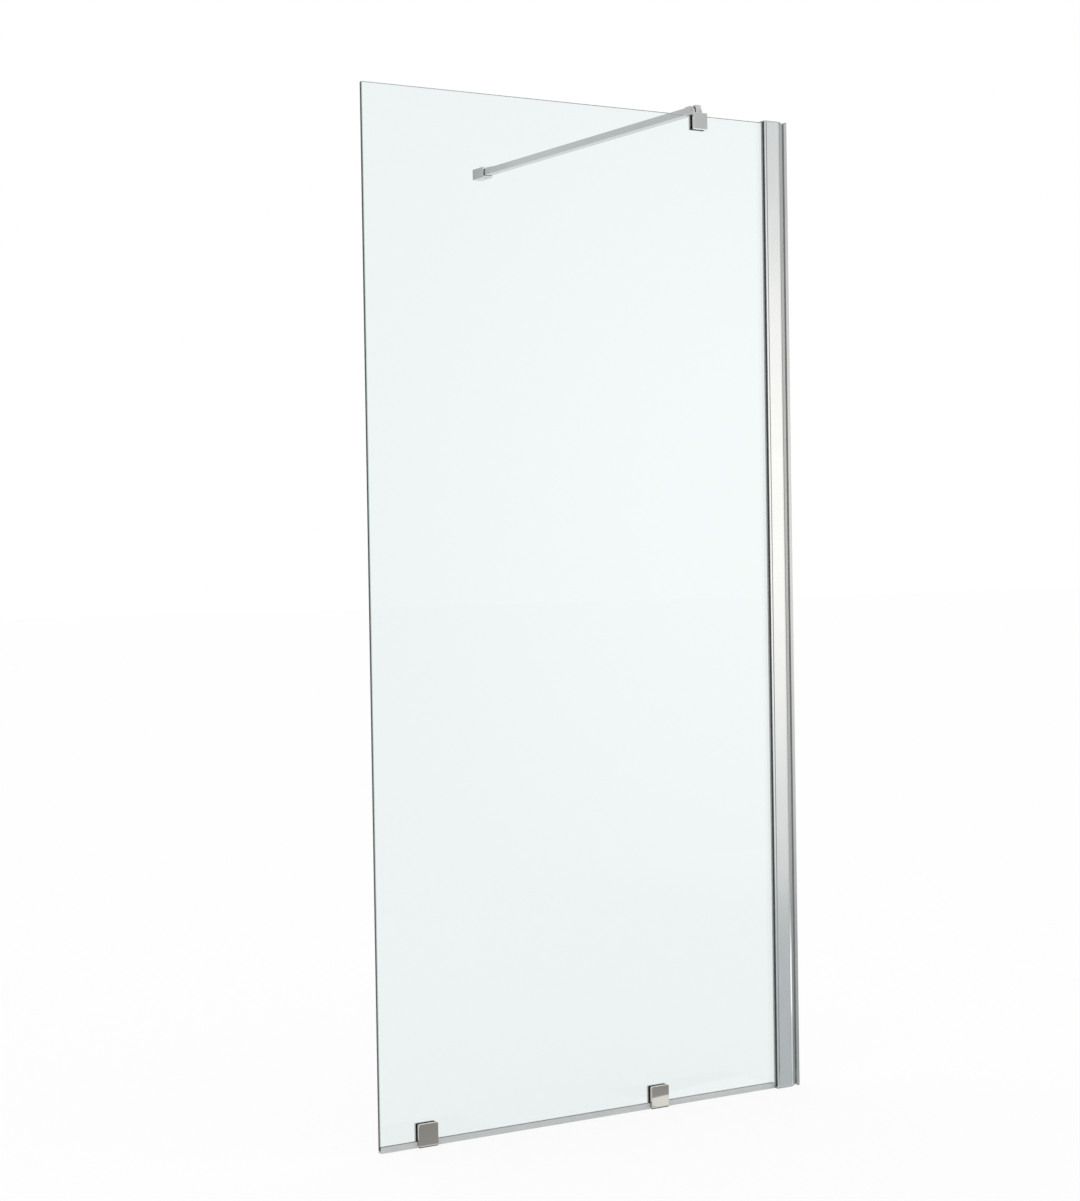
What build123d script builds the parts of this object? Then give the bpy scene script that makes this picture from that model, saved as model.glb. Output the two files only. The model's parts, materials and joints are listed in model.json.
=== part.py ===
"""A fixed shower screen: a glass panel in a telescoping wall profile, two floor clamps,
and a brace bar from a clamp on the glass to a bracket on the wall behind.

The origin is on the wall face, at the middle of the glass, on the floor. +X points into
the wall that carries the profile, so the glass runs to -X. The bar runs to +Y.
"""
from build123d import *
from math import cos, radians, sin
import os

os.makedirs("parts", exist_ok=True)

# Overall sizes, in millimetres, at the middle of the adjustment
screen_width = 980.0
screen_height = 2000.0
bar_reach = 900.0
bar_from_wall = 216.0
adjustment = 9.0

# Clearances
running_gap = 0.2
screw_gap = 0.05
pin_gap = 0.03
slide_gap = 0.3
end_gap = 0.5
seat_gap = 0.1

# Glass
glass_thickness = 8.0
glass_lift = 4.0
glass_engagement = 28.0
glass_arris = 0.8
glass_corner = 2.0

# Wall channel, a U with a foot flange
channel_base = 2.4
arm_wall = 1.8
arm_end_gap = 3.0
flange_lip = 3.5
flange_thickness = 7.0
groove_near = 11.4
groove_far = 13.4
groove_depth = 0.6
wall_hole = 5.5
wall_hole_head = 9.5
wall_hole_count = 4
wall_hole_inset = 100.0

# Caps on the ends of the channel and of the profile
cap_thickness = 2.0
cap_leg = 8.0
cap_foot = 3.0
channel_cap_end_gap = 4.0
channel_leg_reach = 10.0
profile_leg_margin = 2.0

# Glass profile, whose rear leg is shorter than the front one
profile_visible = 58.2
rear_setback = 11.5
channel_visible = 0.3
lip_width = 3.4
lip_wall = 2.0
profile_wall = 1.4
edge_packing = 2.6
recess_depth = 4.0
shoulder_width = 7.0
shoulder_flat = 1.4
shoulder_drop = 2.4
gasket_thickness = 1.6
gasket_short = 1.0
bead_width = 1.2
bead_short = 1.4
block_length = 80.0
block_inset = 150.0
block_count = 3

# Cover strips, which slide along undercut grooves in the profile
cover_groove = 2.4
cover_face = 1.6
cover_flange = 0.5
cover_bite = 0.6

# Screws that lock the telescope, under the front cover strip
lock_screw = 4.0
lock_slot_gap = 0.4
lock_head = 7.0
lock_head_height = 1.8
lock_count = 3
lock_inset = 250.0
small_hex = 2.5
large_hex = 4.0
hex_depth = 1.5

# Seal under the glass
seal_height = 11.5
seal_wall = 1.2
seal_inset = 1.0
seal_foot_half = 3.0
seal_foot_depth = 1.8
seal_lip = 0.6

# Floor clamps
clamp_from_free_edge = 100.0
clamp_from_wall = 350.0
plate_width = 42.0
plate_height = 45.0
plate_thickness = 5.0
plate_corner = 3.0
plate_edge = 0.8
plate_lift = 1.5
plate_gasket = 2.0
gasket_margin = 0.2
foot_margin = 1.0
web_thickness = 3.0
web_width = 36.0
web_hole = 4.5
web_hole_head = 8.4
web_hole_spacing = 22.0
clamp_hole_height = 26.0
glass_hole = 14.0
bush_outer = 13.6
clamp_screw = 6.0
clamp_screw_head = 12.0
clamp_screw_bite = 4.0

# Top clamp
top_clamp_size = 34.0
top_clamp_edge = 1.2
bridge_thickness = 4.0
bridge_gap = 1.0
jaw_thickness = 5.0
pad_thickness = 2.5
pad_margin = 0.3
pressure_width = 24.0
pressure_height = 20.0
pressure_thickness = 1.5
grub = 6.0
grub_spacing = 14.0
grub_sink = 0.2

# Swivel neck on the top clamp
swivel_washer_outer = 12.0
swivel_washer_thickness = 0.6
neck_width = 12.0
neck_front = 4.5
neck_back = 11.0
neck_edge = 0.8
neck_boss = 8.4
neck_back_radius = 6.0
neck_screw = 5.0
neck_screw_head = 9.2
neck_screw_bite = 8.5
cross_pin = 5.0
cross_pin_back = 6.0
nose_foot = 2.0
nose_front = 2.5

# Brace bar and the fittings in its ends
bar_width = 20.0
bar_height = 15.0
bar_wall = 1.5
bar_corner = 1.5
fitting_side = 0.5
fitting_top = 1.0
fitting_length = 30.0
fitting_edge = 0.6
fitting_end_radius = 5.0
cheek_gap = 1.5
spigot_length = 20.0
bar_screw = 4.0
bar_screw_length = 4.5
bar_screw_inset = 10.0

# Wall bracket
bracket_width = 26.0
bracket_wall = 4.2
bracket_depth = 48.0
bracket_edge = 1.0
bracket_swing = 25.0
mouth_width = 22.0
mouth_depth = 15.5
mouth_corner = 1.5
eye_depth = 9.0
eye_radius = 5.0
bracket_pin = 6.0
pin_cover = 1.0
pin_sink = 0.5
bracket_washer_outer = 12.0
bracket_washer_thickness = 0.6
boss_diameter = 18.0
boss_depth = 13.5
boss_flange = 22.0
boss_flange_thickness = 2.0
boss_hole = 5.5
boss_hole_head = 10.6
bracket_grub = 4.0
bracket_grub_from_wall = 7.0

# Places in the plan, as distances from the middle of the glass or from the wall. Where
# the two sides of the screen differ, -1 stands for the front and 1 for the rear
glass_half = glass_thickness / 2
pocket_inner = glass_half + gasket_thickness
pocket_outer = pocket_inner + profile_wall
arm_inner = pocket_outer + 2 * running_gap
arm_outer = arm_inner + arm_wall
flange_half = arm_outer + flange_lip
wall_inner = arm_outer + running_gap
recess_floor = wall_inner + profile_wall
profile_half = recess_floor + recess_depth
profile_left = -profile_visible
leg_left = {-1: profile_left, 1: profile_left + rear_setback}
profile_right = -flange_thickness - adjustment - channel_visible
recess_left = {side: left + lip_width for side, left in leg_left.items()}
recess_right = profile_right - shoulder_width
recess_middle = (recess_left[-1] + recess_right) / 2
glass_right = profile_left + glass_engagement
gasket_right = glass_right - gasket_short
web_right = glass_right + edge_packing + profile_wall
arm_left = {
    side: left + lip_wall + adjustment + arm_end_gap for side, left in leg_left.items()
}
channel_cap_left = web_right + adjustment + channel_cap_end_gap
free_edge = -screen_width
cover_back = profile_half - cover_face
cover_inside = cover_back - cover_flange

# Heights
channel_bottom = 2 * cap_thickness
channel_top = screen_height - cap_thickness
lock_heights = [
    lock_inset + index * (screen_height - 2 * lock_inset) / (lock_count - 1)
    for index in range(lock_count)
]
wall_hole_heights = [
    wall_hole_inset + index * (screen_height - 2 * wall_hole_inset) / (wall_hole_count - 1)
    for index in range(wall_hole_count)
]
clamp_top = screen_height + bridge_gap + bridge_thickness
bar_bottom = clamp_top + swivel_washer_thickness
bar_middle = bar_bottom + bar_height / 2
fitting_height = bar_height + fitting_top
fitting_width = bar_width + 2 * fitting_side
nose_radius = fitting_height - nose_foot
mouth_height = bar_height + 2 * (bracket_washer_thickness + running_gap)
bracket_height = mouth_height + 2 * bracket_wall

# Places along the bar: its wall end clears the bracket when that is swung to its limit
swing = radians(bracket_swing)
bar_x = -bar_from_wall
bracket_front = bar_reach - bracket_depth
eye_y = bracket_front + eye_depth
eye_reach = (eye_depth + running_gap + fitting_width / 2 * sin(swing)) / cos(swing)
fitting_far = eye_y - eye_reach
bar_near = fitting_length
bar_far = fitting_far - fitting_length
clamp_places = {"left": free_edge + clamp_from_free_edge, "right": -clamp_from_wall}


def box_between(x, y, z, mode=Mode.ADD):
    """A box given by a low and a high value along each axis."""
    with Locations(((x[0] + x[1]) / 2, (y[0] + y[1]) / 2, (z[0] + z[1]) / 2)):
        Box(x[1] - x[0], y[1] - y[0], z[1] - z[0], mode=mode)


def side_rectangle(side, x, y, mode=Mode.ADD):
    """A rectangle of a section, with y as its distances out from the middle of the glass."""
    with Locations(((x[0] + x[1]) / 2, side * (y[0] + y[1]) / 2)):
        Rectangle(x[1] - x[0], y[1] - y[0], mode=mode)


def save(piece, name):
    """Label a finished piece and write its file."""
    piece.part.label = name
    export_step(piece.part, f"parts/{name}.step")


# Glass panel, with a hole for each floor clamp
with BuildPart() as glass_panel:
    with BuildSketch(Plane.XZ.offset(-glass_half)) as glass_face:
        with Locations(((free_edge + glass_right) / 2, (glass_lift + screen_height) / 2)):
            Rectangle(glass_right - free_edge, screen_height - glass_lift)
        fillet(glass_face.vertices().group_by(Axis.X)[0], radius=glass_corner)
    extrude(amount=glass_thickness)
    chamfer(glass_panel.faces().filter_by(Axis.Y).edges(), length=glass_arris)
    with BuildSketch(Plane.XZ.offset(-glass_half)):
        with Locations(*[(place, clamp_hole_height) for place in clamp_places.values()]):
            Circle(glass_hole / 2)
    extrude(amount=glass_thickness, mode=Mode.SUBTRACT)
save(glass_panel, "glass_panel")

# Wall channel
with BuildPart() as wall_channel:
    with BuildSketch(Plane.XY.offset(channel_bottom)):
        for side, left in arm_left.items():
            side_rectangle(side, (left, 0), (arm_inner, arm_outer))
            side_rectangle(side, (-flange_thickness, 0), (arm_inner, flange_half))
            side_rectangle(
                side,
                (-groove_far, -groove_near),
                (arm_outer - groove_depth, arm_outer),
                Mode.SUBTRACT,
            )
        with Locations((-channel_base / 2, 0)):
            Rectangle(channel_base, 2 * arm_outer)
    extrude(amount=channel_top - channel_bottom)
    with Locations(
        *[Plane((-channel_base, 0, height), z_dir=(-1, 0, 0)) for height in wall_hole_heights]
    ):
        CounterSinkHole(wall_hole / 2, wall_hole_head / 2, channel_base, 90)
    with BuildSketch(Plane.XZ.offset(arm_inner)):
        with Locations(*[(recess_middle, height) for height in lock_heights]):
            Circle(lock_screw / 2 + screw_gap)
    extrude(amount=arm_wall, mode=Mode.SUBTRACT)
save(wall_channel, "wall_channel")


def channel_cap(face_low, foot_low, leg_low):
    """The plate that closes an end of the channel, with a foot on the wall and a leg inside."""
    with BuildPart() as cap:
        with BuildSketch(Plane.XY.offset(face_low)):
            with Locations((channel_cap_left / 2, 0)):
                Rectangle(-channel_cap_left, 2 * arm_outer)
            with Locations((-flange_thickness / 2, 0)):
                Rectangle(flange_thickness, 2 * flange_half)
        extrude(amount=cap_thickness)
        box_between(
            (-cap_foot, 0), (-flange_half, flange_half), (foot_low, foot_low + cap_thickness)
        )
        box_between(
            (-channel_leg_reach, -channel_base - running_gap),
            (running_gap - arm_inner, arm_inner - running_gap),
            (leg_low, leg_low + cap_leg),
        )
    return cap


save(channel_cap(channel_top, screen_height, channel_top - cap_leg), "channel_top_cap")
save(channel_cap(cap_thickness, 0, channel_bottom), "channel_bottom_cap")

# Glass profile
with BuildPart() as glass_profile:
    with BuildSketch(Plane.XY.offset(cap_thickness)):
        for side, left in leg_left.items():
            side_rectangle(side, (left, recess_left[side]), (wall_inner, profile_half))
            side_rectangle(side, (left, left + lip_wall), (pocket_inner, wall_inner))
            side_rectangle(side, (left, web_right), (pocket_inner, pocket_outer))
            side_rectangle(side, (recess_left[side], profile_right), (wall_inner, recess_floor))
        for side in leg_left:
            with BuildLine():
                Polyline(
                    (recess_right, side * wall_inner),
                    (recess_right, side * profile_half),
                    (recess_right + shoulder_flat, side * profile_half),
                    (profile_right, side * (profile_half - shoulder_drop)),
                    (profile_right, side * wall_inner),
                    close=True,
                )
            make_face()
        with Locations((web_right - profile_wall / 2, 0)):
            Rectangle(profile_wall, 2 * pocket_outer)
        for side, left in recess_left.items():
            side_rectangle(
                side,
                (left - cover_bite, recess_right + cover_bite),
                (cover_inside - seat_gap, cover_back + seat_gap),
                Mode.SUBTRACT,
            )
    extrude(amount=screen_height - cap_thickness)
    with BuildSketch(Plane.XZ.offset(wall_inner)):
        with Locations(*[(recess_middle, height) for height in lock_heights]):
            SlotOverall(
                2 * adjustment + lock_screw + 2 * lock_slot_gap, lock_screw + lock_slot_gap
            )
    extrude(amount=recess_floor - wall_inner, mode=Mode.SUBTRACT)
save(glass_profile, "glass_profile")


def profile_cap(face_low, leg_low, tongue_low):
    """The plate that closes an end of the profile and reaches over the channel."""
    with BuildPart() as cap:
        with BuildSketch(Plane.XY.offset(face_low)):
            with BuildLine():
                Polyline(
                    (profile_left, -profile_half),
                    (recess_right + shoulder_flat, -profile_half),
                    (profile_right, shoulder_drop - profile_half),
                    (profile_right, profile_half - shoulder_drop),
                    (recess_right + shoulder_flat, profile_half),
                    (leg_left[1], profile_half),
                    (leg_left[1], glass_half),
                    (profile_left, glass_half),
                    close=True,
                )
            make_face()
        extrude(amount=cap_thickness)
        box_between(
            (profile_right, -cap_foot - adjustment - slide_gap),
            (-arm_outer, arm_outer),
            (tongue_low, tongue_low + cap_thickness - slide_gap),
        )
        for side, left in recess_left.items():
            box_between(
                (left + profile_leg_margin, recess_right - profile_leg_margin),
                sorted((side * (recess_floor + seat_gap), side * (cover_inside - seat_gap))),
                (leg_low, leg_low + cap_leg),
            )
    return cap


save(profile_cap(screen_height, screen_height - cap_leg, screen_height + slide_gap),
     "profile_top_cap")
save(profile_cap(0, cap_thickness, 0), "profile_bottom_cap")


def cover_strip(side):
    """The snap-in strip; side is -1 for the front of the screen and 1 for the rear."""
    with BuildPart() as strip:
        box_between(
            (recess_left[side] + cover_groove, recess_right - running_gap),
            sorted((side * cover_back, side * profile_half)),
            (cap_thickness, screen_height),
        )
        box_between(
            (recess_left[side] - cover_bite + seat_gap, recess_right + cover_bite - seat_gap),
            sorted((side * cover_inside, side * cover_back)),
            (cap_thickness, screen_height),
        )
    return strip


def glazing_gasket(side):
    """The rubber strip in one side of the pocket, with a flap over the face of the leg."""
    left = leg_left[side]
    flap_top = profile_half - bead_short
    with BuildPart() as gasket:
        with BuildSketch(Plane.XY.offset(glass_lift)):
            with BuildLine():
                Polyline(
                    (gasket_right, side * glass_half),
                    (left - bead_width, side * glass_half),
                    (left - bead_width, side * (flap_top - bead_width)),
                    (left, side * flap_top),
                    (left, side * pocket_inner),
                    (gasket_right, side * pocket_inner),
                    close=True,
                )
            make_face()
        extrude(amount=screen_height - glass_lift)
    return gasket


for side, word in ((-1, "front"), (1, "rear")):
    save(cover_strip(side), f"cover_strip_{word}")
    save(glazing_gasket(side), f"glazing_gasket_{word}")

# Packing behind the glass edge and under the glass, inside the pocket
with BuildPart() as glass_edge_blocks:
    for index in range(block_count):
        height = block_inset + index * (screen_height - 2 * block_inset) / (block_count - 1)
        box_between(
            (glass_right, web_right - profile_wall),
            (glass_arris - glass_half, glass_half - glass_arris),
            (height - block_length / 2, height + block_length / 2),
        )
save(glass_edge_blocks, "glass_edge_blocks")

with BuildPart() as glass_setting_block:
    box_between(
        (leg_left[1] + lip_wall, gasket_right),
        (-glass_half, glass_half),
        (cap_thickness, glass_lift),
    )
save(glass_setting_block, "glass_setting_block")

# Screws that lock the telescope, with their heads on the floor of the front recess
with BuildPart() as profile_lock_screws:
    with BuildSketch(Plane.XZ.offset(arm_inner + screw_gap)):
        with Locations(*[(recess_middle, height) for height in lock_heights]):
            Circle(lock_screw / 2)
    extrude(amount=recess_floor - arm_inner - screw_gap)
    with BuildSketch(Plane.XZ.offset(recess_floor)):
        with Locations(*[(recess_middle, height) for height in lock_heights]):
            Circle(lock_head / 2)
    extrude(amount=lock_head_height)
    with BuildSketch(Plane.XZ.offset(recess_floor + lock_head_height)):
        with Locations(*[(recess_middle, height) for height in lock_heights]):
            RegularPolygon(small_hex / 2, 6, major_radius=False)
    extrude(amount=-hex_depth, mode=Mode.SUBTRACT)
save(profile_lock_screws, "profile_lock_screws")


def bottom_seal(x_low, x_high):
    """A length of U strip that grips the bottom edge of the glass."""
    inner = glass_half + seat_gap
    outer = glass_half + seal_wall
    with BuildPart() as seal:
        with BuildSketch(Plane.YZ.offset(x_low)):
            with BuildLine():
                Polyline(
                    (-outer, 0),
                    (-seal_foot_half, 0),
                    (-seal_foot_half, seal_foot_depth),
                    (seal_foot_half, seal_foot_depth),
                    (seal_foot_half, 0),
                    (outer, 0),
                    (outer, seal_height - seal_lip),
                    (outer - seal_lip, seal_height),
                    (inner, seal_height),
                    (inner, glass_lift),
                    (-inner, glass_lift),
                    (-inner, seal_height),
                    (seal_lip - outer, seal_height),
                    (-outer, seal_height - seal_lip),
                    close=True,
                )
            make_face()
        extrude(amount=x_high - x_low)
    return seal


clamp_clear = plate_width / 2 + slide_gap
save(bottom_seal(free_edge + seal_inset, clamp_places["left"] - clamp_clear),
     "bottom_seal_left")
save(bottom_seal(clamp_places["left"] + clamp_clear, clamp_places["right"] - clamp_clear),
     "bottom_seal_middle")
save(bottom_seal(clamp_places["right"] + clamp_clear,
                 profile_left - bead_width - slide_gap), "bottom_seal_right")

# Floor clamps: the rear bracket stands on the floor and the front plate on a rubber foot
plate_inner = glass_half + plate_gasket
plate_outer = plate_inner + plate_thickness


def clamp_plate(x_middle, side, bottom):
    """A plate on one side of the glass, made in the open builder."""
    with BuildSketch(Plane.XZ.offset(-side * plate_inner)) as outline:
        with Locations((x_middle, (bottom + plate_height) / 2)):
            RectangleRounded(plate_width, plate_height - bottom, plate_corner)
    extrude(outline.sketch, amount=-side * plate_thickness)


def clamp_front_plate(x_middle):
    with BuildPart() as plate:
        clamp_plate(x_middle, -1, plate_lift)
        chamfer(plate.faces().sort_by(Axis.Y)[0].edges(), length=plate_edge)
        with BuildSketch(Plane.XZ.offset(plate_inner)):
            with Locations((x_middle, clamp_hole_height)):
                Circle(clamp_screw / 2 + screw_gap)
        extrude(amount=clamp_screw_bite + running_gap, mode=Mode.SUBTRACT)
    return plate


def clamp_rear_bracket(x_middle):
    with BuildPart() as bracket:
        clamp_plate(x_middle, 1, 0)
        chamfer(bracket.faces().sort_by(Axis.Y)[-1].edges(), length=plate_edge)
        box_between(
            (x_middle - web_width / 2, x_middle + web_width / 2),
            (-plate_inner, plate_inner),
            (0, web_thickness),
        )
        with Locations((x_middle, 0, web_thickness)):
            with GridLocations(web_hole_spacing, 0, 2, 1):
                CounterSinkHole(web_hole / 2, web_hole_head / 2, web_thickness, 90)
        with Locations(Plane((x_middle, plate_outer, clamp_hole_height), z_dir=(0, 1, 0))):
            CounterSinkHole(
                clamp_screw / 2 + screw_gap,
                clamp_screw_head / 2 + screw_gap,
                plate_thickness,
                90,
            )
    return bracket


def clamp_gasket(x_middle, side):
    with BuildPart() as gasket:
        with BuildSketch(Plane.XZ.offset(-side * glass_half)):
            with Locations((x_middle, (glass_lift + plate_height - gasket_margin) / 2)):
                RectangleRounded(
                    plate_width - 2 * gasket_margin,
                    plate_height - gasket_margin - glass_lift,
                    plate_corner - gasket_margin,
                )
            with Locations((x_middle, clamp_hole_height)):
                Circle(glass_hole / 2, mode=Mode.SUBTRACT)
        extrude(amount=-side * plate_gasket)
    return gasket


def clamp_bush(x_middle):
    with BuildPart() as bush:
        with BuildSketch(Plane.XZ.offset(-glass_half)):
            with Locations((x_middle, clamp_hole_height)):
                Circle(bush_outer / 2)
                Circle(clamp_screw / 2 + screw_gap, mode=Mode.SUBTRACT)
        extrude(amount=glass_thickness)
    return bush


def countersunk_screw(plane, diameter, head, length, hex_size):
    """A screw along -Z of its plane, with the top of its head at the plane's origin."""
    head_height = (head - diameter) / 2
    side_plane = Plane(plane.origin, x_dir=plane.x_dir, z_dir=-plane.y_dir)
    with BuildPart() as screw:
        with BuildSketch(side_plane):
            with BuildLine():
                Polyline(
                    (0, 0),
                    (head / 2, 0),
                    (diameter / 2, -head_height),
                    (diameter / 2, -length),
                    (0, -length),
                    close=True,
                )
            make_face()
        revolve(axis=Axis(plane.origin, plane.z_dir))
        with BuildSketch(plane):
            RegularPolygon(hex_size / 2, 6, major_radius=False)
        extrude(amount=-hex_depth, mode=Mode.SUBTRACT)
    return screw


def clamp_setting_pad(x_middle):
    with BuildPart() as pad:
        box_between(
            (x_middle - web_width / 2, x_middle + web_width / 2),
            (-glass_half, glass_half),
            (web_thickness, glass_lift),
        )
    return pad


def clamp_foot_pad(x_middle):
    """The rubber foot that the front plate rests on."""
    half = plate_width / 2 - foot_margin
    with BuildPart() as pad:
        box_between(
            (x_middle - half, x_middle + half), (foot_margin - plate_outer, -plate_inner),
            (0, plate_lift),
        )
    return pad


for word, place in clamp_places.items():
    save(clamp_front_plate(place), f"{word}_clamp_front_plate")
    save(clamp_rear_bracket(place), f"{word}_clamp_rear_bracket")
    save(clamp_gasket(place, -1), f"{word}_clamp_front_gasket")
    save(clamp_gasket(place, 1), f"{word}_clamp_rear_gasket")
    save(clamp_bush(place), f"{word}_clamp_bush")
    save(clamp_setting_pad(place), f"{word}_clamp_setting_pad")
    save(clamp_foot_pad(place), f"{word}_clamp_foot_pad")
    screw_plane = Plane((place, plate_outer, clamp_hole_height), x_dir=(1, 0, 0), z_dir=(0, 1, 0))
    screw_length = 2 * plate_inner + plate_thickness + clamp_screw_bite
    save(countersunk_screw(screw_plane, clamp_screw, clamp_screw_head, screw_length, large_hex),
         f"{word}_clamp_screw")

# Top clamp, a block slotted from below
jaw_inner = glass_half + pad_thickness
jaw_outer = jaw_inner + jaw_thickness
pocket_floor = jaw_inner + pressure_thickness + seat_gap
clamp_bottom = clamp_top - top_clamp_size
clamp_middle = (clamp_bottom + screen_height) / 2
clamp_left = bar_x - top_clamp_size / 2
clamp_right = bar_x + top_clamp_size / 2
grub_places = [
    (bar_x - grub_spacing / 2, clamp_middle),
    (bar_x + grub_spacing / 2, clamp_middle),
]
with BuildPart() as top_clamp_body:
    box_between((clamp_left, clamp_right), (-jaw_outer, jaw_outer), (clamp_bottom, clamp_top))
    chamfer(top_clamp_body.faces().filter_by(Axis.Y).edges(), length=top_clamp_edge)
    box_between(
        (clamp_left, clamp_right),
        (-jaw_inner, jaw_inner),
        (clamp_bottom, clamp_top - bridge_thickness),
        Mode.SUBTRACT,
    )
    box_between(
        (bar_x - pressure_width / 2 - seat_gap, bar_x + pressure_width / 2 + seat_gap),
        (jaw_inner, pocket_floor),
        (clamp_middle - pressure_height / 2 - seat_gap,
         clamp_middle + pressure_height / 2 + seat_gap),
        Mode.SUBTRACT,
    )
    with BuildSketch(Plane.XZ.offset(-pocket_floor)):
        with Locations(*grub_places):
            Circle(grub / 2 + screw_gap)
    extrude(amount=pocket_floor - jaw_outer, mode=Mode.SUBTRACT)
    with Locations(Plane((bar_x, 0, clamp_top - bridge_thickness), z_dir=(0, 0, -1))):
        CounterSinkHole(
            neck_screw / 2 + screw_gap, neck_screw_head / 2 + screw_gap, bridge_thickness, 90
        )
save(top_clamp_body, "top_clamp_body")


def top_clamp_pad(side):
    with BuildPart() as pad:
        box_between(
            (clamp_left + pad_margin, clamp_right - pad_margin),
            sorted((side * glass_half, side * jaw_inner)),
            (clamp_bottom + pad_margin, screen_height),
        )
    return pad


save(top_clamp_pad(-1), "top_clamp_front_pad")
save(top_clamp_pad(1), "top_clamp_rear_pad")

with BuildPart() as top_clamp_pressure_plate:
    box_between(
        (bar_x - pressure_width / 2, bar_x + pressure_width / 2),
        (jaw_inner, jaw_inner + pressure_thickness),
        (clamp_middle - pressure_height / 2, clamp_middle + pressure_height / 2),
    )
save(top_clamp_pressure_plate, "top_clamp_pressure_plate")

with BuildPart() as top_clamp_grub_screws:
    with BuildSketch(Plane.XZ.offset(-jaw_inner - pressure_thickness)):
        with Locations(*grub_places):
            Circle(grub / 2)
    extrude(amount=jaw_inner + pressure_thickness + grub_sink - jaw_outer)
    with BuildSketch(Plane.XZ.offset(grub_sink - jaw_outer)):
        with Locations(*grub_places):
            RegularPolygon(small_hex / 2, 6, major_radius=False)
    extrude(amount=hex_depth, mode=Mode.SUBTRACT)
save(top_clamp_grub_screws, "top_clamp_grub_screws")

# Swivel: a nylon washer, the neck on it, the screw from below and the cross pin. Bosses
# on the neck hold the cheeks of the fork off its sides
with BuildPart() as swivel_washer:
    with BuildSketch(Plane.XY.offset(clamp_top)):
        with Locations((bar_x, 0)):
            Circle(swivel_washer_outer / 2)
            Circle(neck_screw / 2 + screw_gap, mode=Mode.SUBTRACT)
    extrude(amount=swivel_washer_thickness)
save(swivel_washer, "swivel_washer")

with BuildPart() as swivel_neck:
    box_between(
        (bar_x - neck_width / 2, bar_x + neck_width / 2),
        (-neck_front, neck_back),
        (bar_bottom, bar_bottom + fitting_height),
    )
    back_top = swivel_neck.edges().filter_by(Axis.X).group_by(Axis.Z)[-1].sort_by(Axis.Y)[-1]
    fillet(back_top, radius=neck_back_radius)
    front_face = swivel_neck.faces().sort_by(Axis.Y)[0]
    chamfer(front_face.edges(), length=neck_edge)
    with BuildSketch(Plane.YZ.offset(bar_x)):
        with Locations((cross_pin_back, bar_middle)):
            Circle(neck_boss / 2)
    extrude(amount=neck_width / 2 + cheek_gap - seat_gap, both=True)
    with BuildSketch(Plane.XY.offset(bar_bottom)):
        with Locations((bar_x, 0)):
            Circle(neck_screw / 2 + screw_gap)
    extrude(amount=neck_screw_bite + running_gap, mode=Mode.SUBTRACT)
    with BuildSketch(Plane.YZ.offset(bar_x)):
        with Locations((cross_pin_back, bar_middle)):
            Circle(cross_pin / 2 + pin_gap)
    extrude(amount=neck_width, both=True, mode=Mode.SUBTRACT)
save(swivel_neck, "swivel_neck")

neck_screw_low = clamp_top - bridge_thickness + pin_gap
save(
    countersunk_screw(
        Plane((bar_x, 0, neck_screw_low), x_dir=(1, 0, 0), z_dir=(0, 0, -1)),
        neck_screw,
        neck_screw_head,
        bar_bottom + neck_screw_bite - neck_screw_low,
        small_hex,
    ),
    "swivel_neck_screw",
)

with BuildPart() as fork_cross_pin:
    with BuildSketch(Plane.YZ.offset(bar_x - bar_width / 2)):
        with Locations((cross_pin_back, bar_middle)):
            Circle(cross_pin / 2)
    extrude(amount=bar_width)
save(fork_cross_pin, "fork_cross_pin")


def spigot(y_low, y_high):
    """The stub that fills the end of the bar, made in the open builder."""
    half_width = bar_width / 2 - bar_wall - seat_gap
    half_height = bar_height / 2 - bar_wall - seat_gap
    box_between(
        (bar_x - half_width, bar_x + half_width),
        (y_low, y_high),
        (bar_middle - half_height, bar_middle + half_height),
    )


def bar_screw_hole(y_middle, height):
    """The hole for a bar screw, from the underside of the bar."""
    with BuildSketch(Plane.XY.offset(bar_bottom)) as mouth:
        with Locations((bar_x, y_middle)):
            Circle(bar_screw / 2 + screw_gap)
    extrude(mouth.sketch, amount=height, mode=Mode.SUBTRACT)


# Fork that straddles the neck, with a rounded nose and a spigot in the bar
bar_screw_places = (bar_near + bar_screw_inset, bar_far - bar_screw_inset)
nose_back = nose_radius - nose_front
with BuildPart() as bar_fork:
    with BuildSketch(Plane.YZ.offset(bar_x - fitting_width / 2)):
        with BuildLine():
            nose = CenterArc(
                (nose_back, bar_bottom + fitting_height - nose_radius), nose_radius, 90, 90
            )
            Polyline(
                nose @ 1,
                (-nose_front, bar_bottom),
                (bar_near, bar_bottom),
                (bar_near, bar_bottom + fitting_height),
                nose @ 0,
            )
        make_face()
    extrude(amount=fitting_width)
    chamfer(bar_fork.faces().filter_by(Axis.X).edges(), length=fitting_edge)
    slot_half = neck_width / 2 + cheek_gap
    box_between(
        (bar_x - slot_half, bar_x + slot_half),
        (-nose_front, neck_back + end_gap),
        (bar_bottom, bar_bottom + fitting_height),
        Mode.SUBTRACT,
    )
    with BuildSketch(Plane.YZ.offset(bar_x - fitting_width / 2)):
        with Locations((cross_pin_back, bar_middle)):
            Circle(cross_pin / 2 + pin_gap)
    extrude(amount=fitting_width, mode=Mode.SUBTRACT)
    spigot(bar_near, bar_near + spigot_length)
    bar_screw_hole(bar_screw_places[0], bar_screw_length + end_gap)
save(bar_fork, "bar_fork")

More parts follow.
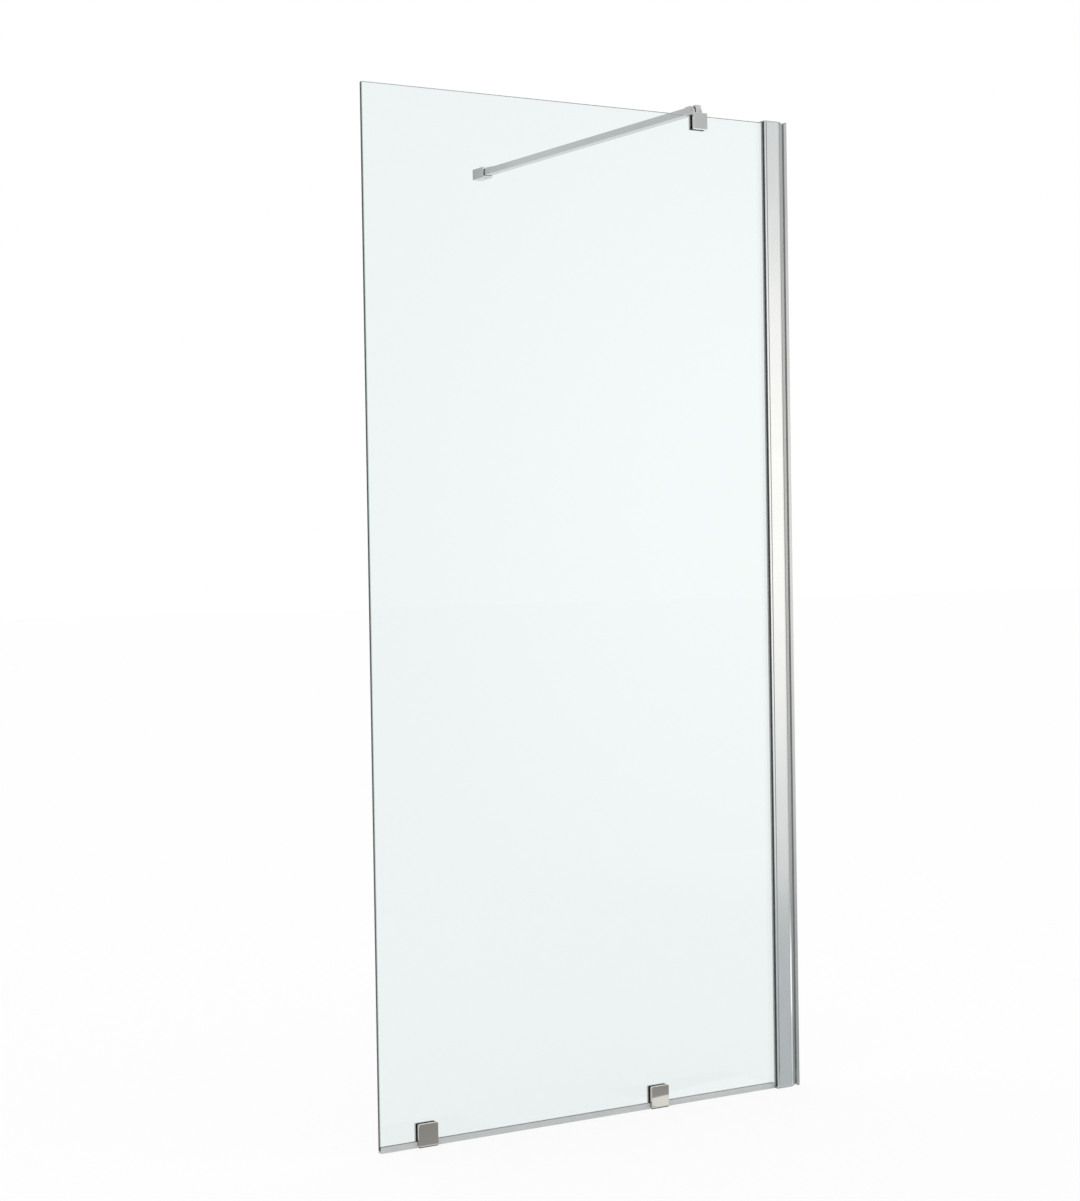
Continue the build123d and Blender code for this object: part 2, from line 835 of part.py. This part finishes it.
# Brace bar
with BuildPart() as support_bar:
    with BuildSketch(Plane.XZ.offset(-bar_near)):
        with Locations((bar_x, bar_middle)):
            RectangleRounded(bar_width, bar_height, bar_corner)
            Rectangle(bar_width - 2 * bar_wall, bar_height - 2 * bar_wall, mode=Mode.SUBTRACT)
    extrude(amount=bar_near - bar_far)
    for place in bar_screw_places:
        bar_screw_hole(place, bar_wall)
save(support_bar, "support_bar")

with BuildPart() as bar_lock_screws:
    with BuildSketch(Plane.XY.offset(bar_bottom + grub_sink)):
        with Locations(*[(bar_x, place) for place in bar_screw_places]):
            Circle(bar_screw / 2)
    extrude(amount=bar_screw_length)
    with BuildSketch(Plane.XY.offset(bar_bottom + grub_sink)):
        with Locations(*[(bar_x, place) for place in bar_screw_places]):
            RegularPolygon(small_hex / 2, 6, major_radius=False)
    extrude(amount=hex_depth, mode=Mode.SUBTRACT)
save(bar_lock_screws, "bar_lock_screws")

# Connector at the wall end of the bar: spigot, shoulder and an eye for the bracket pin
with BuildPart() as bar_wall_connector:
    box_between(
        (bar_x - fitting_width / 2, bar_x + fitting_width / 2),
        (bar_far, fitting_far),
        (bar_bottom, bar_bottom + fitting_height),
    )
    far_top = bar_wall_connector.edges().filter_by(Axis.X).group_by(Axis.Z)[-1]
    fillet(far_top.sort_by(Axis.Y)[-1], radius=fitting_end_radius)
    chamfer(bar_wall_connector.faces().filter_by(Axis.X).edges(), length=fitting_edge)
    with BuildSketch(Plane.XY.offset(bar_bottom)):
        with Locations((bar_x, eye_y)):
            Circle(eye_radius)
        with Locations((bar_x, (eye_y + fitting_far) / 2 - fitting_end_radius / 2)):
            Rectangle(2 * eye_radius, eye_reach + fitting_end_radius)
    extrude(amount=bar_height)
    with BuildSketch(Plane.XY.offset(bar_bottom)):
        with Locations((bar_x, eye_y)):
            Circle(bracket_pin / 2 + screw_gap)
    extrude(amount=bar_height, mode=Mode.SUBTRACT)
    spigot(bar_far - spigot_length, bar_far)
    bar_screw_hole(bar_screw_places[1], bar_screw_length + end_gap)
save(bar_wall_connector, "bar_wall_connector")

# Wall bracket: a block with a mouth for the eye and a bore for the boss on the wall
bracket_bottom = bar_middle - bracket_height / 2
bracket_top = bar_middle + bracket_height / 2
pin_bottom = bracket_bottom + pin_sink
pin_top = bracket_top - pin_cover
boss_front = bar_reach - boss_depth
grub_y = bar_reach - bracket_grub_from_wall
boss_bottom = bar_middle - boss_diameter / 2
with BuildPart() as wall_bracket_body:
    box_between(
        (bar_x - bracket_width / 2, bar_x + bracket_width / 2),
        (bracket_front, bar_reach),
        (bracket_bottom, bracket_top),
    )
    long_edges = wall_bracket_body.edges().filter_by(Axis.Y)
    front_edges = wall_bracket_body.faces().sort_by(Axis.Y)[0].edges()
    chamfer(long_edges + front_edges, length=bracket_edge)
    with BuildSketch(Plane.XZ.offset(-bracket_front)):
        with Locations((bar_x, bar_middle)):
            RectangleRounded(mouth_width, mouth_height, mouth_corner)
    extrude(amount=-mouth_depth, mode=Mode.SUBTRACT)
    with BuildSketch(Plane.XZ.offset(-bar_reach)):
        with Locations((bar_x, bar_middle)):
            Circle(boss_diameter / 2 + screw_gap)
    extrude(amount=boss_depth + end_gap, mode=Mode.SUBTRACT)
    with BuildSketch(Plane.XZ.offset(-bar_reach)):
        with Locations((bar_x, bar_middle)):
            Circle(boss_flange / 2 + seat_gap)
    extrude(amount=boss_flange_thickness + seat_gap, mode=Mode.SUBTRACT)
    with BuildSketch(Plane.XY.offset(bracket_bottom)):
        with Locations((bar_x, eye_y)):
            Circle(bracket_pin / 2 + pin_gap)
    extrude(amount=pin_top - bracket_bottom, mode=Mode.SUBTRACT)
    with BuildSketch(Plane.XY.offset(bracket_bottom)):
        with Locations((bar_x, grub_y)):
            Circle(bracket_grub / 2 + screw_gap)
    extrude(amount=boss_bottom - bracket_bottom, mode=Mode.SUBTRACT)
save(wall_bracket_body, "wall_bracket_body")

with BuildPart() as wall_bracket_pin:
    with BuildSketch(Plane.XY.offset(pin_bottom)):
        with Locations((bar_x, eye_y)):
            Circle(bracket_pin / 2)
    extrude(amount=pin_top - pin_bottom)
save(wall_bracket_pin, "wall_bracket_pin")

with BuildPart() as wall_bracket_washers:
    mouth_floor = bar_middle - mouth_height / 2
    mouth_roof = bar_middle + mouth_height / 2
    for low in (mouth_floor, mouth_roof - bracket_washer_thickness):
        with BuildSketch(Plane.XY.offset(low)):
            with Locations((bar_x, eye_y)):
                Circle(bracket_washer_outer / 2)
                Circle(bracket_pin / 2 + screw_gap, mode=Mode.SUBTRACT)
        extrude(amount=bracket_washer_thickness)
save(wall_bracket_washers, "wall_bracket_washers")

with BuildPart() as wall_bracket_boss:
    with BuildSketch(Plane.XZ.offset(-bar_reach)):
        with Locations((bar_x, bar_middle)):
            Circle(boss_diameter / 2)
    extrude(amount=boss_depth)
    with BuildSketch(Plane.XZ.offset(-bar_reach)):
        with Locations((bar_x, bar_middle)):
            Circle(boss_flange / 2)
    extrude(amount=boss_flange_thickness)
    with Locations(Plane((bar_x, boss_front, bar_middle), z_dir=(0, -1, 0))):
        CounterSinkHole(boss_hole / 2, boss_hole_head / 2, boss_depth, 90)
save(wall_bracket_boss, "wall_bracket_boss")

with BuildPart() as wall_bracket_grub_screw:
    with BuildSketch(Plane.XY.offset(bracket_bottom + grub_sink)):
        with Locations((bar_x, grub_y)):
            Circle(bracket_grub / 2)
    extrude(amount=boss_bottom - pin_gap - bracket_bottom - grub_sink)
    with BuildSketch(Plane.XY.offset(bracket_bottom + grub_sink)):
        with Locations((bar_x, grub_y)):
            RegularPolygon(small_hex / 2, 6, major_radius=False)
    extrude(amount=hex_depth, mode=Mode.SUBTRACT)
save(wall_bracket_grub_screw, "wall_bracket_grub_screw")
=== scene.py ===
import json
import math

import bpy
from mathutils import Matrix, Vector


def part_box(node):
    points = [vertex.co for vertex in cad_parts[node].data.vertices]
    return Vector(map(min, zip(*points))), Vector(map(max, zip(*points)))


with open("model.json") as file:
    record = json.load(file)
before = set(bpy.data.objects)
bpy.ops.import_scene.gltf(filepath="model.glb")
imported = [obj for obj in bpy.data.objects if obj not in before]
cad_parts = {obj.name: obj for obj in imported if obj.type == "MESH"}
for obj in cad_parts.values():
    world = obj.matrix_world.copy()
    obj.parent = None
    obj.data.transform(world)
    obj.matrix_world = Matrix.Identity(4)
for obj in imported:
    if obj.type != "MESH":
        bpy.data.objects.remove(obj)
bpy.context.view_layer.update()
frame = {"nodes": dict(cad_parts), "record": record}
nodes = frame["nodes"]
scene = bpy.context.scene
print("frame loaded,", len(nodes), "pieces")


# Shader maths as plain expressions: a Wire is one output of a node
class Wire:
    def __init__(self, shade, socket):
        self.shade = shade
        self.socket = socket

    def maths(self, operation, first, second):
        return self.shade.node("Math", {"operation": operation}, {0: first, 1: second})

    def __add__(self, other):
        return self.maths("ADD", self, other)

    def __radd__(self, other):
        return self.maths("ADD", other, self)

    def __sub__(self, other):
        return self.maths("SUBTRACT", self, other)

    def __rsub__(self, other):
        return self.maths("SUBTRACT", other, self)

    def __mul__(self, other):
        return self.maths("MULTIPLY", self, other)

    def __rmul__(self, other):
        return self.maths("MULTIPLY", other, self)

    def __lt__(self, other):
        return self.maths("LESS_THAN", self, other)

    def __gt__(self, other):
        return self.maths("GREATER_THAN", self, other)

    def root(self):
        return self.maths("SQRT", self, 0.0)

    def size(self):
        return self.maths("ABSOLUTE", self, 0.0)


class Shade:
    def __init__(self, name, tree=None):
        if tree is None:
            self.material = bpy.data.materials.new(name)
            self.material.use_nodes = True
            tree = self.material.node_tree
        self.tree = tree
        self.tree.nodes.clear()

    # Makes any node: its settings first, then the values or wires of its sockets
    def node(self, kind, settings=None, sockets=None, out=0):
        made = self.tree.nodes.new("ShaderNode" + kind)
        for key, value in (settings or {}).items():
            if key == "stops":
                for stop in range(len(value) - 2):
                    made.color_ramp.elements.new(0.5)
                for element, (place, level) in zip(made.color_ramp.elements, value):
                    element.position = place
                    element.color = colour(level)
            else:
                setattr(made, key, value)
        for key, value in (sockets or {}).items():
            if isinstance(value, Wire):
                self.tree.links.new(value.socket, made.inputs[key])
            else:
                made.inputs[key].default_value = value
        return Wire(self, made.outputs[out]) if made.outputs else None

    def place(self):
        return self.node("TexCoord", out="Object")

    def axes(self):
        split = self.node("SeparateXYZ", {}, {0: self.place()}).socket.node
        return [Wire(self, output) for output in split.outputs]

    def ray(self, kind):
        return self.node("LightPath", out=kind)

    # A noise stretched by a scale along each axis, in bumps per metre
    def grain(self, scale, detail=2.0):
        stretched = self.node("Mapping", {}, {"Vector": self.place(), "Scale": scale})
        return self.node("TexNoise", {}, {"Vector": stretched, "Scale": 1.0, "Detail": detail})

    def blendColours(self, share, first, second):
        ends = [end if isinstance(end, Wire) else colour(end) for end in (first, second)]
        return self.node("Mix", {"data_type": "RGBA"}, {0: share, 6: ends[0], 7: ends[1]}, out=2)

    def finish(self, sockets, bump=None):
        if bump:
            sockets["Normal"] = self.node("Bump", {}, bump)
        surface = self.node("BsdfPrincipled", {}, sockets)
        self.node("OutputMaterial", {}, {"Surface": surface})
        return self.material

    # A glow that rays see only from nearer than its reach
    def glow(self, tint, reach):
        clear = self.node("BsdfTransparent")
        light = self.node("Emission", {}, {"Color": tint, "Strength": 1.0})
        surface = self.node("MixShader", {}, {0: self.ray("Ray Length") < reach, 1: clear, 2: light})
        self.node("OutputMaterial", {}, {"Surface": surface})
        return self.material


def colour(level):
    if isinstance(level, (int, float)):
        return (level, level, level, 1.0)
    return (*level, 1.0)


def evenly(scale):
    return (scale, scale, scale)


def wear(piece, material):
    piece.data.materials.clear()
    piece.data.materials.append(material)


# Glass: clear and a little green, with a deeper green where the edges are ground
glassLook = {
    "face": (0.866, 0.915, 0.912),
    "sideEdge": (0.26, 0.40, 0.36),
    "topEdge": (0.66, 0.74, 0.72),
    "edgeBand": 0.0012,
    "edgeRoughness": 0.25,
    "index": 1.52,
    "shine": 0.8,
}


def clearGlass(look, low, high):
    shade = Shade("clearGlass")
    x, y, z = shade.axes()
    nearSide = x < low.x + look["edgeBand"]
    nearTop = z > high.z - look["edgeBand"]
    nearFoot = z < low.z + look["edgeBand"]
    inside = (1 - nearSide) * (1 - nearFoot)
    body = shade.blendColours(nearTop, look["face"], look["topEdge"])
    return shade.finish({
        "Base Color": shade.blendColours(1 - inside, body, look["sideEdge"]),
        "Roughness": (1 - inside * (1 - nearTop)) * look["edgeRoughness"],
        "IOR": look["index"],
        "Specular IOR Level": look["shine"],
        "Transmission Weight": 1.0,
    })


# Half of a noise's range, where it changes nothing
noiseMiddle = 0.5

# Metals: base colour, roughness, and the fine lines left by drawing or brushing
metalFinish = {"detail": 3.0, "cloud": 14.0, "light": 1.04, "dark": 0.95, "bump": 0.6}
metalLooks = {
    "brightAluminium": {
        "base": (0.56, 0.57, 0.575), "roughness": 0.16, "rough": 0.10,
        "lines": (900.0, 900.0, 3.0), "depth": 0.00002,
    },
    "channelAluminium": {
        "base": (0.41, 0.418, 0.415), "roughness": 0.20, "rough": 0.10,
        "lines": (900.0, 900.0, 3.0), "depth": 0.00002,
    },
    "polishedChrome": {
        "base": (0.55, 0.556, 0.554), "roughness": 0.06, "rough": 0.05,
        "lines": (260.0, 260.0, 260.0), "depth": 0.000004,
    },
    "barChrome": {
        "base": (0.55, 0.556, 0.554), "roughness": 0.10, "rough": 0.06,
        "lines": (900.0, 4.0, 900.0), "depth": 0.00001,
    },
    "satinNickel": {
        "base": (0.56, 0.545, 0.50), "roughness": 0.07, "rough": 0.05,
        "lines": (1400.0, 1400.0, 30.0), "depth": 0.00001,
    },
    "stainlessSteel": {
        "base": (0.50, 0.50, 0.49), "roughness": 0.26, "rough": 0.12,
        "lines": (700.0, 700.0, 700.0), "depth": 0.00001,
    },
}


def metal(name, look):
    shade = Shade(name)
    lines = shade.grain(look["lines"], metalFinish["detail"])
    cloud = shade.grain(evenly(metalFinish["cloud"]))
    light = [metalFinish["light"] * level for level in look["base"]]
    dark = [metalFinish["dark"] * level for level in look["base"]]
    return shade.finish({
        "Base Color": shade.blendColours(cloud, dark, light),
        "Metallic": 1.0,
        "Roughness": look["roughness"] + look["rough"] * (lines - noiseMiddle),
    }, {"Height": lines, "Distance": look["depth"], "Strength": metalFinish["bump"]})


# Plastics and rubbers: colour, roughness and the size of their moulded grain
plasticFinish = {"detail": 3.0, "cloud": 11.0, "light": 1.05, "dark": 0.93, "rough": 0.12, "bump": 0.5}
plasticLooks = {
    "greyCap": {"base": (0.40, 0.41, 0.41), "roughness": 0.42, "grain": 900.0, "depth": 0.00003},
    "sealVinyl": {"base": (0.57, 0.60, 0.59), "roughness": 0.34, "grain": 60.0, "depth": 0.00002},
    "blackRubber": {"base": (0.02, 0.02, 0.02), "roughness": 0.62, "grain": 1600.0, "depth": 0.00004},
    "whiteNylon": {"base": (0.72, 0.72, 0.70), "roughness": 0.38, "grain": 900.0, "depth": 0.00002},
}


# Any moulded surface, given its colour and its fine grain
def moulded(shade, look, grain, tint):
    return shade.finish({
        "Base Color": tint,
        "Roughness": look["roughness"] + plasticFinish["rough"] * (grain - noiseMiddle),
    }, {"Height": grain, "Distance": look["depth"], "Strength": plasticFinish["bump"]})


def plastic(name, look):
    shade = Shade(name)
    grain = shade.grain(evenly(look["grain"]), plasticFinish["detail"])
    cloud = shade.grain(evenly(plasticFinish["cloud"]))
    light = [plasticFinish["light"] * level for level in look["base"]]
    dark = [plasticFinish["dark"] * level for level in look["base"]]
    return moulded(shade, look, grain, shade.blendColours(cloud, dark, light))


# Gasket on the side of the profile: a paler foot at the glass, then black rubber
gasketLook = {
    "rubber": (0.03, 0.03, 0.03), "foot": (0.42, 0.43, 0.43), "footReach": 0.0085,
    "roughness": 0.5, "grain": 1200.0, "depth": 0.00003,
}


def gasketRubber(look):
    shade = Shade("gasketRubber")
    grain = shade.grain(evenly(look["grain"]), plasticFinish["detail"])
    tint = shade.blendColours(shade.axes()[1].size() < look["footReach"], look["rubber"], look["foot"])
    return moulded(shade, look, grain, tint)


glassLow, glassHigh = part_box("glass_panel")
materials = {name: metal(name, look) for name, look in metalLooks.items()}
materials.update({name: plastic(name, look) for name, look in plasticLooks.items()})
materials["clearGlass"] = clearGlass(glassLook, glassLow, glassHigh)
materials["gasketRubber"] = gasketRubber(gasketLook)

slotMaterials = {
    "clear_glass": "clearGlass",
    "bright_aluminium": "brightAluminium",
    "polished_chrome": "polishedChrome",
    "satin_nickel": "satinNickel",
    "stainless_steel": "stainlessSteel",
    "grey_cap": "greyCap",
    "seal_vinyl": "sealVinyl",
    "black_rubber": "blackRubber",
    "white_nylon": "whiteNylon",
}
for part in frame["record"]["subparts"]:
    wear(nodes[part["node"]], materials[slotMaterials[part["material_slot"]]])
wear(nodes["support_bar"], materials["barChrome"])
wear(nodes["wall_channel"], materials["channelAluminium"])
for side in ("front", "rear"):
    wear(nodes["glazing_gasket_" + side], materials["gasketRubber"])


# Studio: floor, white surround and cards that only mirrors see
def flatCard(name, corners, material):
    mesh = bpy.data.meshes.new(name)
    mesh.from_pydata(corners, [], [range(len(corners))])
    card = bpy.data.objects.new(name, mesh)
    scene.collection.objects.link(card)
    card.data.materials.append(material)
    return card


# An upright card along X, and a lying one, each from its two far corners
def upright(left, right, low, high, place):
    return [(left, place, low), (right, place, low), (right, place, high), (left, place, high)]


def lying(left, right, front, back, height):
    return [(left, front, height), (right, front, height), (right, back, height), (left, back, height)]


def mirrorOnly(card):
    card.visible_camera = card.visible_shadow = False
    card.visible_diffuse = card.visible_transmission = False


# The floor's own white is what the camera, metal and glass see; the rest takes the shadow
floorLook = {
    "half": 40.0, "level": 0.93, "mottle": 0.004, "speck": 3.0, "white": 1.0, "whiteShare": 0.86,
}


def floorPaint(look):
    shade = Shade("paleFloor")
    speck = shade.grain(evenly(look["speck"]))
    ends = (look["level"] - look["mottle"], look["level"] + look["mottle"])
    paint = shade.node("BsdfDiffuse", {}, {"Color": shade.blendColours(speck, *ends)})
    white = shade.node("Emission", {}, {"Color": colour(look["white"]), "Strength": 1.0})
    seen = shade.ray("Is Camera Ray") + shade.ray("Is Glossy Ray")
    seen = (seen + shade.ray("Is Transmission Ray")) > 0.5
    surface = shade.node("MixShader", {}, {0: seen * look["whiteShare"], 1: paint, 2: white})
    shade.node("OutputMaterial", {}, {"Surface": surface})
    return shade.material


half = floorLook["half"]
flatCard("floor", lying(-half, half, -half, half, 0), floorPaint(floorLook))
print("floor laid")

# How far a card is seen: those by the floor clamps show only in what is close to them
cardReach = {"near": 0.22, "far": 100.0}


# Round glows on cards: two colours, and how far from a middle one turns into the other
def roundGlow(name, look):
    shade = Shade(name)
    ahead, aside = (shade.axes()[axis] for axis in look["axes"])
    ahead = (ahead - look["middle"][0]) * look["squeeze"][0]
    aside = (aside - look["middle"][1]) * look["squeeze"][1]
    share = shade.node("MapRange", {"interpolation_type": "SMOOTHSTEP"}, {
        "Value": (ahead * ahead + aside * aside).root(),
        "From Min": look["inner"], "From Max": look["outer"]})
    return shade.glow(shade.blendColours(share, look["bright"], look["dim"]), cardReach["far"])


# The soft light that the front faces and the glass mirror, and its spill on the floor
glowCards = {
    "softCard": {
        "corners": upright(0.2, 4.4, 0.0, 3.4, -3.1),
        "axes": (0, 2), "middle": (2.27, 1.3), "squeeze": (1.0, 1.0), "inner": 0.2, "outer": 2.1,
        "bright": (1.80, 1.77, 1.70), "dim": (0.75, 0.79, 0.81),
    },
    "frontMat": {
        "corners": [
            (0.2, -3.1, 0.002), (2.9, -3.1, 0.002), (0.1, -0.02, 0.002), (-1.1, -0.02, 0.002),
        ],
        "axes": (0, 1), "middle": (2.27, -3.1), "squeeze": (1.3, 0.7), "inner": 0.0, "outer": 1.9,
        "bright": (1.30, 1.31, 1.27), "dim": (0.76, 0.80, 0.81),
    },
}
for name, look in glowCards.items():
    mirrorOnly(flatCard(name, look["corners"], roundGlow(name, look)))

# Cards that metal and glass mirror: four corners, and the levels along one axis
mirrorCards = {
    "backLeftCard": {
        "corners": [(-2.9, 2.8, 0.6), (-2.9, 7.0, 0.6), (-2.9, 7.0, 4.2), (-2.9, 2.8, 4.2)],
        "axis": 1, "ends": (3.6, 5.8),
        "stops": [(0.0, 0.80), (0.5, 0.88), (0.7, 1.00), (0.84, 0.74), (0.9, 0.60)],
    },
    "leftClampMat": {
        "reach": "near",
        "corners": lying(-1.02, -0.72, -0.18, -0.01, 0.004),
        "axis": 1, "ends": (-0.18, -0.01),
        "stops": [(0.0, 0.40), (1.0, 0.46)],
    },
    "rightClampMat": {
        "reach": "near",
        "corners": [
            (-0.36, -0.18, 0.004), (-0.05, -0.18, 0.004), (-0.05, -0.125, 0.004), (-0.36, -0.07, 0.004),
        ],
        "axis": 1, "ends": (-0.18, -0.07),
        "stops": [(0.0, 0.42), (1.0, 0.50)],
    },
    "rightCard": {
        "corners": [(2.2, -1.9, 0.0), (2.2, 1.6, 0.0), (2.2, 1.6, 3.2), (2.2, -1.9, 3.2)],
        "axis": 1, "ends": (-1.9, 1.6),
        "stops": [(0.0, 0.64), (1.0, 0.64)],
    },
    "bracketCard": {
        "corners": upright(0.775, 1.0, 2.2, 2.55, -1.0),
        "axis": 2, "ends": (2.2, 2.55),
        "stops": [(0.0, 1.6), (1.0, 1.4)],
    },
    "plateCard": {
        "corners": upright(0.465, 0.525, 2.185, 2.245, -1.0),
        "axis": 2, "ends": (2.185, 2.245),
        "stops": [(0.0, 0.82), (1.0, 0.82)],
    },
    "rightClampGlow": {
        "reach": "near",
        "corners": [
            (-0.36, -0.069, 0.004), (-0.05, -0.124, 0.004), (-0.05, -0.01, 0.004), (-0.36, -0.01, 0.004),
        ],
        "axis": 1, "ends": (-0.124, -0.01),
        "stops": [(0.0, 1.2), (1.0, 1.2)],
    },
    "clampGlow": {
        "corners": lying(0.7, 1.7, -0.9, 0.0, 0.006),
        "axis": 1, "ends": (-0.9, 0.0),
        "stops": [(0.0, 1.7), (1.0, 1.7)],
    },
}


def bandedGlow(name, look):
    shade = Shade(name)
    low, high = look["ends"]
    along = (shade.axes()[look["axis"]] - low) * (1 / (high - low))
    bands = shade.node("ValToRGB", {"stops": look["stops"]}, {0: along})
    return shade.glow(bands, cardReach[look.get("reach", "far")])


for name, look in mirrorCards.items():
    mirrorOnly(flatCard(name, look["corners"], bandedGlow(name, look)))
print("cards hung")

sky = bpy.data.worlds.new("whiteSurround")
scene.world = sky
sky.use_nodes = True
skyShade = Shade("whiteSurround", sky.node_tree)
surround = skyShade.node("Background", {}, {"Color": colour(1.0), "Strength": 1.0})
skyShade.node("OutputWorld", {}, {"Surface": surround})
print("studio set")

# Camera, at the photograph's place and angle
cameraLook = {
    "place": (-2.9365, -3.8241, 1.1181), "yaw": 31.335, "pitch": -1.166, "roll": -0.927,
    "focal": 2299.6, "imageHeight": 1201, "sensor": 36.0, "clip": (0.05, 200.0),
}
yaw, pitch, roll = (math.radians(cameraLook[key]) for key in ("yaw", "pitch", "roll"))
ahead = Vector((math.sin(yaw) * math.cos(pitch), math.cos(yaw) * math.cos(pitch), math.sin(pitch)))
across = Vector((math.cos(yaw), -math.sin(yaw), 0))
rise = across.cross(ahead)
right = math.cos(roll) * across + math.sin(roll) * rise
top = math.cos(roll) * rise - math.sin(roll) * across
lens = bpy.data.cameras.new("photoView")
lens.sensor_width = cameraLook["sensor"]
lens.lens = cameraLook["focal"] / cameraLook["imageHeight"] * lens.sensor_width
lens.clip_start, lens.clip_end = cameraLook["clip"]
camera = bpy.data.objects.new("photoView", lens)
scene.collection.objects.link(camera)
turn = Matrix((right, top, -ahead)).transposed().to_4x4()
camera.matrix_world = Matrix.Translation(cameraLook["place"]) @ turn
scene.camera = camera
scene.view_settings.view_transform = "Standard"
print("camera set")
